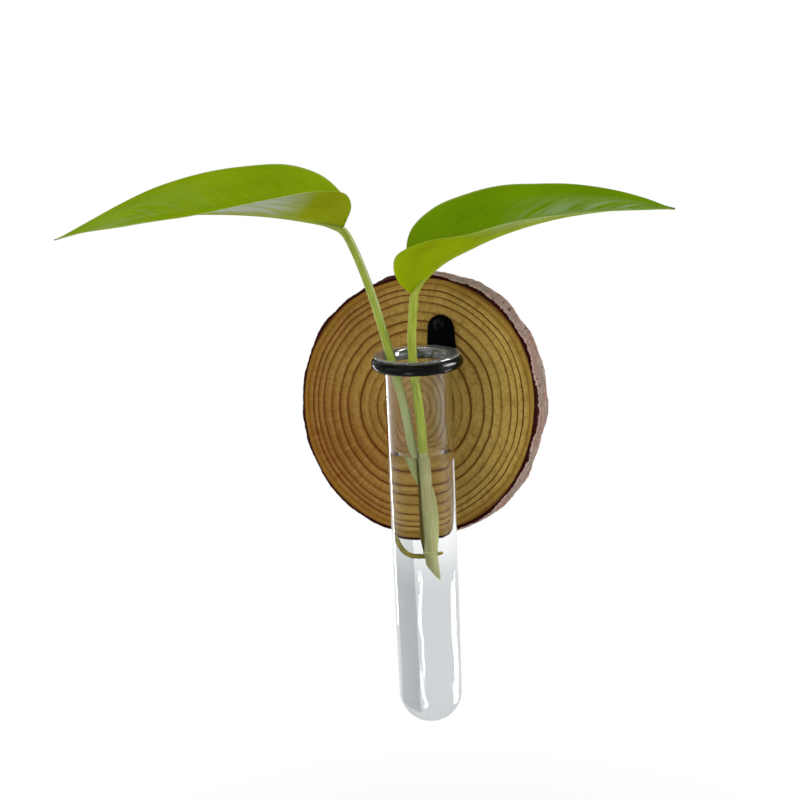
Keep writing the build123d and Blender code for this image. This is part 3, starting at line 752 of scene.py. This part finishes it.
def stem_piece():
    """The stem: swollen at its node and cut on a slant."""
    top, node, end = STEM_TOP, STEM_NODE, STEM_END
    line = np.vstack([flowing([top, (top + node) / 2 + LEAN_BACK * 0.02, node], 0.4),
                      flowing([node, (node + end) / 2 + LEAN_BACK * 0.02, end], 0.4)[1:]])
    drop = line[:, 2] - node[2]
    run = NODE_DEPTH - STEM_TOP_DEPTH
    radii = (1.80 - 0.18 * np.clip(drop / run, 0, 1) + 0.25 * np.exp(-(drop / 0.7) ** 2)
             + 0.10 * np.exp(-((drop - 2.2) / 2.0) ** 2))
    made = stalk("stem", line, radii, STEM, 36, 0.01)
    cut = math.radians(60)
    facing = Vector((*(LEAN_SIDE[:2] * math.sin(cut)), math.cos(cut)))
    above = Vector(tuple(end * MM)) + (Vector(tuple((node - end) * MM))).normalized() * 4.0 * MM
    shape = bmesh.new()
    shape.from_mesh(made.data)
    cutout = bmesh.ops.bisect_plane(shape, geom=shape.verts[:] + shape.edges[:] + shape.faces[:],
                                    plane_co=above, plane_no=facing, clear_inner=True)
    rim = [edge for edge in cutout["geom_cut"] if isinstance(edge, bmesh.types.BMEdge)]
    bmesh.ops.contextual_create(shape, geom=rim)
    shape.to_mesh(made.data)
    shape.free()
    return made


def sheath():
    """What is left of an old leaf's sheath: a dry strip down the stem's left side to the node."""
    way = ((0.03, 2.0), (0.35, 2.0), (0.75, 2.2), (1.0, 1.7))
    line = flowing([STEM_TOP + (STEM_NODE - STEM_TOP) * down - LEAN_SIDE * off - LEAN_BACK * 0.4
                    for down, off in way], 0.4)
    run = np.linspace(0, 1, len(line))
    radii = np.interp(run, (0, 0.1, 0.6, 0.85, 1), (0.12, 0.30, 0.36, 0.75, 0.30))
    return stalk("sheath", line, radii, SHEATH, 16, 0.05)


def node_ring():
    """The scar that a leaf left round the node."""
    ahead = (STEM_END - STEM_NODE) / np.linalg.norm(STEM_END - STEM_NODE)
    line = STEM_NODE + ahead * np.linspace(-0.45, 0.45, 9)[:, None]
    radii = 2.0 + 0.22 * np.sin(np.linspace(0, math.pi, 9))
    return stalk("node_ring", line, radii, SCAR, 36)


def stalk_radii(line, thick, thin):
    """Radius along a leaf stalk: it thins a little, then runs out into the midrib."""
    run = np.concatenate([[0], np.cumsum(np.linalg.norm(np.diff(line, axis=0), axis=1))])
    even = PETIOLE * (thick + (thin - thick) * run / run[-1])
    ending = np.interp(run[-1] - run, (0, 4, 8, 12, 16), (0.15, 0.50, 0.90, 1.35, PETIOLE * 1.1))
    return np.minimum(even, ending)


def left_stalk():
    """The left leaf's stalk: from the node, behind the stem, past the lip and over into the blade.

    A low collar rings it inside the tube."""
    mouth = TUBE_AXIS - LEAN_SIDE * (BORE - PETIOLE - 0.4)
    last = LEFT.stalk_end()
    above = []
    for across, rise in ((0.30, 0.41), (0.56, 0.68), (0.81, 0.89)):
        point = mouth + (last[0] - mouth) * across
        point[2] = mouth[2] + (last[0][2] - mouth[2]) * rise
        above.append(point)
    below = [in_tube(*row) for row in ((0.15, 0.10, 0.845), (0.29, 0.24, 0.649),
                                       (-0.29, 0.26, 0.403), (-0.44, 0.12, 0.226))]
    line = flowing(below + [mouth] + above + last)
    radii = stalk_radii(line, 1.02, 0.92)
    collar = 5.0
    radii += (0.16 * np.exp(-((line[:, 2] - collar) / 0.5) ** 2)
              + 0.10 * np.clip((collar - line[:, 2]) / 0.8, 0, 1))
    return stalk("left_stalk", line, radii, STALK_LEFT, 32, 0.015)


def right_stalk():
    """The right leaf's stalk: straight on from the stem's top."""
    rise = (STEM_TOP - STEM_NODE) / np.linalg.norm(STEM_TOP - STEM_NODE)
    over_lip, last = in_tube(-0.19, -0.02, -0.059), RIGHT.stalk_end()
    neck = last[0] + (over_lip - last[0]) * 0.25
    foot = [STEM_TOP - rise * 0.6, STEM_TOP + rise * 2.0, in_tube(0.02, 0, 0.226)]
    line = flowing(foot + [over_lip, neck] + last)
    return stalk("right_stalk", line, stalk_radii(line, 1.06, 0.96), STALK_RIGHT, 32, 0.015)


def root_piece():
    """The short root that hooks round from the node."""
    way = ((0.42, 0.14, 0.870), (0.16, 0.19, 0.880), (-0.14, 0.10, 0.880),
           (-0.42, 0.0, 0.870), (-0.66, -0.04, 0.830), (-0.80, -0.05, 0.776))
    line = flowing([in_tube(*row) for row in way], 0.3)
    run = np.linspace(0, 1, len(line))
    radii = 0.95 * (0.55 + 0.45 * np.minimum(1, np.minimum(run * 6, (1 - run) * 12)))
    radii = radii * (1 + 0.06 * np.sin(run * 60))
    return stalk("root", line, radii, ROOT, 20, 0.02)


WOOD = wood_material()
BARK_SKIN = bark_material()
BLACK_GLOSS = black_material("black_gloss", 0.08, 0.06)
BLACK_SATIN = black_material("black_satin", 0.50, 0.004)
CLEAR_GLASS = glass_material("clear_glass", GLASS_IOR, 0.06, 0.35)
BAND_GLASS = glass_material("waterline_glass", GLASS_IOR / WATER_IOR, 0.06, 0.35)
DRY_GLASS = glass_material("dry_glass", GLASS_IOR, 0.45, 0.45)
WET_GLASS = glass_material("wet_glass", GLASS_IOR / WATER_IOR, 0.10, 0.10)
RIM_GLASS = glass_material("rim_glass", 1.50, 1.0, 1.0, 0.95)
WATER_SIDE = wetted_material()
WATER = water_material()
# The last argument of each leaf material lists its patches of painted sheen.
LEFT_TOP = leaf_material(
    "left_leaf_top", (0.176, 0.268, 0.001), (0.136, 0.224, 0.001), (0.270, 0.370, 0.030),
    [(((0.40, 0.0), (0.60, 0.8), (0.80, 1.0), (0.94, 0.3)),
      ((0.44, 0.0), (0.52, 1.0), (0.80, 0.6), (0.95, 0.0)), 44.0, 0.06, 0.36),
     (((0.55, 0.0), (0.75, 1.0), (0.96, 0.5)),
      ((0.0, 1.0), (0.45, 0.8), (0.56, 0.0)), 6.0, 0.14, 0.36)])
LEFT_UNDER = leaf_material(
    "left_leaf_under", (0.290, 0.345, 0.004), (0.225, 0.275, 0.002), (0.330, 0.380, 0.060),
    [(((0.14, 0.0), (0.24, 0.9), (0.40, 1.0), (0.75, 0.9)),
      ((0.0, 0.7), (0.10, 1.0), (0.40, 1.0), (0.50, 0.2)), 15.0, 1.0, 0.30)])
RIGHT_TOP = leaf_material(
    "right_leaf_top", (0.115, 0.215, 0.001), (0.090, 0.175, 0.001), (0.200, 0.290, 0.010),
    [(((0.40, 0.0), (0.55, 0.8), (0.85, 1.0), (0.96, 0.4)),
      ((0.30, 0.9), (0.58, 1.0), (0.70, 0.45), (0.82, 0.0)), 34.0, 0.26, 0.38)])
RIGHT_UNDER = leaf_material(
    "right_leaf_under", (0.270, 0.365, 0.001), (0.200, 0.262, 0.001), (0.320, 0.390, 0.030),
    [(((0.32, 0.0), (0.44, 0.6), (0.56, 1.0), (0.95, 0.9)),
      ((0.0, 1.0), (0.32, 1.0), (0.46, 0.4), (0.50, 0.1)), 9.0, 0.34, 0.26)])
STALK_LEFT = stalk_material(
    "left_stalk_skin", (0.36, 0.43, 0.085), (0.250, 0.320, 0.035), (0.150, 0.205, 0.014), glass_veil=0.7)
STALK_RIGHT = stalk_material(
    "right_stalk_skin", (0.42, 0.47, 0.085), (0.300, 0.370, 0.035), (0.175, 0.225, 0.012))
STEM = stalk_material(
    "stem_skin", (0.460, 0.455, 0.245), (0.357, 0.350, 0.160), (0.240, 0.240, 0.077), 0.42)
SHEATH = stalk_material(
    "sheath_skin", (0.150, 0.120, 0.018), (0.090, 0.072, 0.012), (0.030, 0.024, 0.006), 0.6)
SCAR = stalk_material(
    "scar_skin", (0.46, 0.45, 0.27), (0.38, 0.37, 0.19), (0.26, 0.25, 0.10), 0.5)
ROOT = stalk_material(
    "root_skin", (0.380, 0.335, 0.068), (0.260, 0.220, 0.032), (0.125, 0.100, 0.011), 0.5)


def place(made, body, node, slot):
    """Put a piece on its body, in place of its CAD node if it has one."""
    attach(made, body)
    if node:
        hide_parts(node)


def paint(node, material):
    """Give a kept CAD node its material."""
    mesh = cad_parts[node].data
    mesh.materials.clear()
    mesh.materials.append(material)


paint("wood_slice", WOOD)
paint("bracket_strap", BLACK_SATIN)
paint("holder_ring", BLACK_GLOSS)
paint("strap_screw", BLACK_GLOSS)
place(bark_ring(), "plaque", "bark_rim", "bark")
place(glass_tube(), "tube", "test_tube", "clear_glass")
place(water_fill(), "tube", None, "clear_glass")
place(stem_piece(), "cutting", "cutting_stem", "stalk")
place(sheath(), "cutting", None, "stalk")
place(node_ring(), "cutting", None, "stalk")
place(left_stalk(), "cutting", "left_petiole", "stalk")
place(right_stalk(), "cutting", "right_petiole", "stalk")
place(root_piece(), "cutting", "aerial_root", "root")
place(LEFT.blade("left_blade", 0.4, LEFT_TOP, LEFT_UNDER), "cutting", "left_leaf", "leaf")
place(RIGHT.blade("right_blade", 1.7, RIGHT_TOP, RIGHT_UNDER), "cutting", "right_leaf", "leaf")


# Stage: floor, light and camera
def floor():
    """The pale floor below the wall-hung object."""
    mesh = bpy.data.meshes.new("floor")
    reach, z = 2.0, -0.45
    corners = [(-reach, -reach, z), (reach, -reach, z), (reach, reach, z), (-reach, reach, z)]
    mesh.from_pydata(corners, [], [(0, 1, 2, 3)])
    mesh.materials.append(floor_material())
    made = bpy.data.objects.new("floor", mesh)
    bpy.context.scene.collection.objects.link(made)


def area_light(name, at, toward, width, height, brightness):
    """A soft panel, unseen through glass; a brightness of 1 is as bright as the white around."""
    data = bpy.data.lights.new(name, "AREA")
    data.shape = "RECTANGLE"
    data.size, data.size_y, data.energy = width, height, brightness * math.pi * width * height
    made = bpy.data.objects.new(name, data)
    bpy.context.scene.collection.objects.link(made)
    made.location = at
    made.rotation_euler = (Vector(toward) - Vector(at)).to_track_quat("-Z", "Y").to_euler()
    made.visible_camera = made.visible_transmission = False
    return made


def glow_material(name, colour, strength):
    """Plain glow, a little uneven."""
    n = Nodes(name)
    cloud = n.noise(n.coords("Object"), 9.0, 2.0)
    uneven = n.math("MULTIPLY_ADD", cloud, 0.2 * strength, 0.9 * strength)
    glow = n.node("Emission", {"Color": colour, "Strength": uneven})
    n.tree.links.new(glow.outputs[0], n.tree.nodes["Material Output"].inputs["Surface"])
    return n.material


def stage_panel(name, points, faces, material, glossy, transmission):
    """A panel that only the glass's mirrored or bent rays meet."""
    mesh = bpy.data.meshes.new(name)
    mesh.from_pydata(points, [], faces)
    mesh.materials.append(material)
    made = bpy.data.objects.new(name, mesh)
    bpy.context.scene.collection.objects.link(made)
    made.visible_camera = made.visible_diffuse = made.visible_shadow = False
    made.visible_glossy, made.visible_transmission = glossy, transmission


def crooked_light(name, turn, reach, wide, swing, seed, strength):
    """A crooked strip light low down beside the tube, which draws a ragged bright streak on it.

    turn is its bearing from the tube in degrees; its left edge swings more than its right."""
    ahead = Vector((math.cos(math.radians(turn)), math.sin(math.radians(turn)), 0.0))
    across = Vector((-ahead.y, ahead.x, 0.0))
    middle = Vector((TUBE_AXIS[0] * MM, TUBE_AXIS[1] * MM, 0.0)) + ahead * reach
    top, drop = -0.222, 0.0056
    pull = np.random.default_rng(seed).uniform(-1, 1, (40, 2))
    points, faces = [], []
    for i, (left, right) in enumerate(pull):
        level = Vector((0, 0, top - drop * i))
        shift = swing * (left + 0.8 * math.sin(i * 0.62))
        edge = 0.8 * shift + 0.15 * swing * right
        points += [middle + across * (shift - wide / 2) + level, middle + across * (edge + wide / 2) + level]
        if i:
            faces.append((2 * i - 2, 2 * i - 1, 2 * i + 1, 2 * i))
    glow = glow_material(name + "_glow", (1.0, 1.0, 1.0), strength)
    stage_panel(name, points, faces, glow, True, False)


def grey_card():
    """A grey card behind, low down: bent by the water, it shades the tube's left side."""
    left, right, y, low, high = -0.085, 0.085, 0.26, -0.40, -0.13
    points = [(left, y, low), (right, y, low), (right, y, high), (left, y, high)]
    glow = glow_material("grey_glow", (0.70, 0.71, 0.72), 1.0)
    stage_panel("grey_card", points, [(0, 1, 2, 3)], glow, False, True)


def surroundings(strength):
    """White around the camera's, gloss's and glass's rays, and a plain even light for the rest."""
    world = bpy.data.worlds.new("studio")
    bpy.context.scene.world = world
    world.use_nodes = True
    tree = world.node_tree
    back = tree.nodes["Background"]
    back.inputs["Color"].default_value = (1.0, 1.0, 1.0, 1.0)
    rays = tree.nodes.new("ShaderNodeLightPath").outputs
    seen = tree.nodes.new("ShaderNodeMath")
    seen.operation = "MAXIMUM"
    tree.links.new(rays["Is Camera Ray"], seen.inputs[0])
    tree.links.new(rays["Is Glossy Ray"], seen.inputs[1])
    also = tree.nodes.new("ShaderNodeMath")
    also.operation = "MAXIMUM"
    tree.links.new(seen.outputs[0], also.inputs[0])
    tree.links.new(rays["Is Transmission Ray"], also.inputs[1])
    level = tree.nodes.new("ShaderNodeMath")
    level.operation = "MULTIPLY_ADD"
    tree.links.new(also.outputs[0], level.inputs[0])
    level.inputs[1].default_value = 1.0 - strength
    level.inputs[2].default_value = strength
    tree.links.new(level.outputs[0], back.inputs["Strength"])


def camera():
    """The photograph's camera: its bearing, height and slight roll."""
    data = bpy.data.cameras.new("photo_camera")
    data.sensor_width = 36.0
    data.lens = 49.77
    azimuth, elevation, roll = math.radians(30.0), math.radians(14.55), math.radians(-2.65)
    back = Vector((math.sin(azimuth) * math.cos(elevation),
                   -math.cos(azimuth) * math.cos(elevation), math.sin(elevation)))
    level = Vector((math.cos(azimuth), math.sin(azimuth), 0.0))
    upward = back.cross(level)
    right = level * math.cos(roll) + upward * math.sin(roll)
    upward = back.cross(right)
    made = bpy.data.objects.new("photo_camera", data)
    bpy.context.scene.collection.objects.link(made)
    looked_at, distance = Vector((-0.001, -0.0178, 0.0065)), 0.430
    eye = looked_at + back * distance
    made.matrix_world = Matrix((
        (right.x, upward.x, back.x, eye.x), (right.y, upward.y, back.y, eye.y),
        (right.z, upward.z, back.z, eye.z), (0, 0, 0, 1)))
    bpy.context.scene.camera = made


floor()
surroundings(0.74)
area_light("window", (0.65, 0.10, 0.10), (0.0, -0.03, 0.0), 0.45, 0.90, 2.4)
area_light("overhead", (0.0, -0.25, 0.90), (0.0, -0.03, 0.0), 0.80, 0.80, 0.8)
area_light("fill", (-0.50, -0.80, 0.30), (0.0, -0.03, 0.0), 0.70, 0.70, 2.0)
for name, at, toward, width, height, brightness in (
        ("left_edge", (-0.77, 0.21, -0.22), (0.014, -0.03, -0.04), 0.09, 0.50, 16.0),
        ("glint", (0.57, 0.37, 0.43), (0.014, -0.03, 0.02), 0.45, 0.40, 60.0),
        ("high_back", (-0.05, 0.35, 0.75), (0.014, -0.03, 0.02), 0.60, 0.30, 25.0)):
    streak = area_light(name, at, toward, width, height, brightness)
    streak.visible_diffuse = False
crooked_light("low_front", -84.0, 0.40, 0.050, 0.052, 8, 70.0)
crooked_light("low_back", 46.0, 0.37, 0.180, 0.040, 5, 18.0)
grey_card()
camera()
bpy.context.scene.view_settings.view_transform = "Standard"
